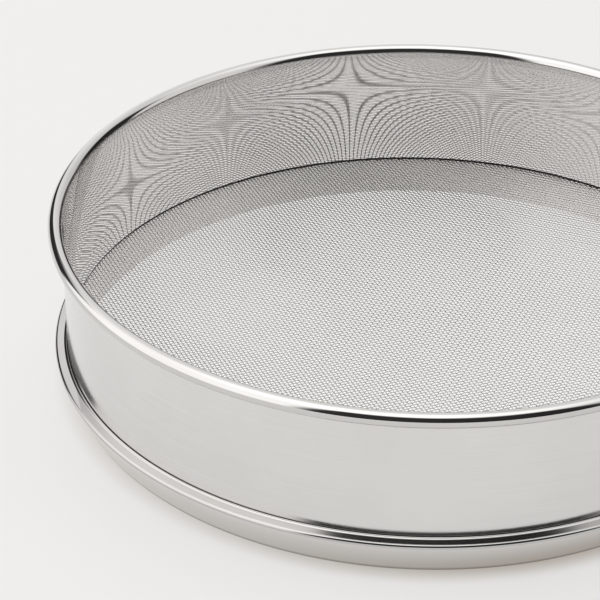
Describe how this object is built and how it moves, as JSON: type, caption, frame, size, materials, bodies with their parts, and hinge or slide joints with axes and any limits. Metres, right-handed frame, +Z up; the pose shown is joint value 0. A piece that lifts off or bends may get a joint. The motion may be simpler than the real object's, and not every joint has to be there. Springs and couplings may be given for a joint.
{
  "type": "soil sieve",
  "caption": "Round stainless steel soil sieve: rolled-rim drum, woven wire mesh across it and a tapered base ring that nests in another sieve.",
  "frame": {"origin": "centre of the foot, on the surface the sieve stands on", "axes": "+Z up along the drum's axis; X and Y lie in the foot plane"},
  "size_m": [0.3, 0.3, 0.072],
  "materials": {
    "drum_steel": "polished inside and on the rim, fine satin outside",
    "rim_wire_steel": "plain drawn wire",
    "mesh_steel": "bright plain-woven wire",
    "ring_steel": "polished fold, satin taper"
  },
  "bodies": {
    "root": {"drum_shell": "drum_steel", "rim_wire": "rim_wire_steel", "sieve_mesh": "mesh_steel", "base_ring": "ring_steel"}
  },
  "joints": []
}
